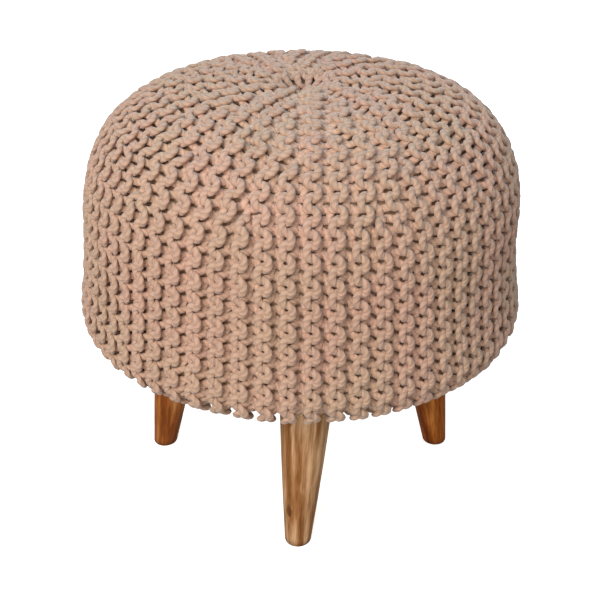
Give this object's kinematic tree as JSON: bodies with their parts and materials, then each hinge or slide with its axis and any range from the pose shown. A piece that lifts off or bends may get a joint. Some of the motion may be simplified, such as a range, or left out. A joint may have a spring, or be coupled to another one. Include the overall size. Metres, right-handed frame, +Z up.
{
  "type": "knitted footstool",
  "caption": "Round filled footstool under a chunky knitted cover, on splayed tapered wooden legs, to rest feet on or sit on.",
  "frame": {"origin": "on the floor, under the middle of the seat", "axes": "+Z up; -Y towards the front leg; +X to the right of it"},
  "size_m": [0.42, 0.42, 0.4045],
  "materials": {
    "knit": "matte soft cotton cord, blush beige",
    "leg_wood": "oiled honey-brown hardwood, satin",
    "board": "plain sanded plywood"
  },
  "bodies": {
    "root": {"knit_cover": "knit", "base_board": "board", "leg_front": "leg_wood", "leg_right": "leg_wood", "leg_back": "leg_wood", "leg_left": "leg_wood"}
  },
  "joints": []
}
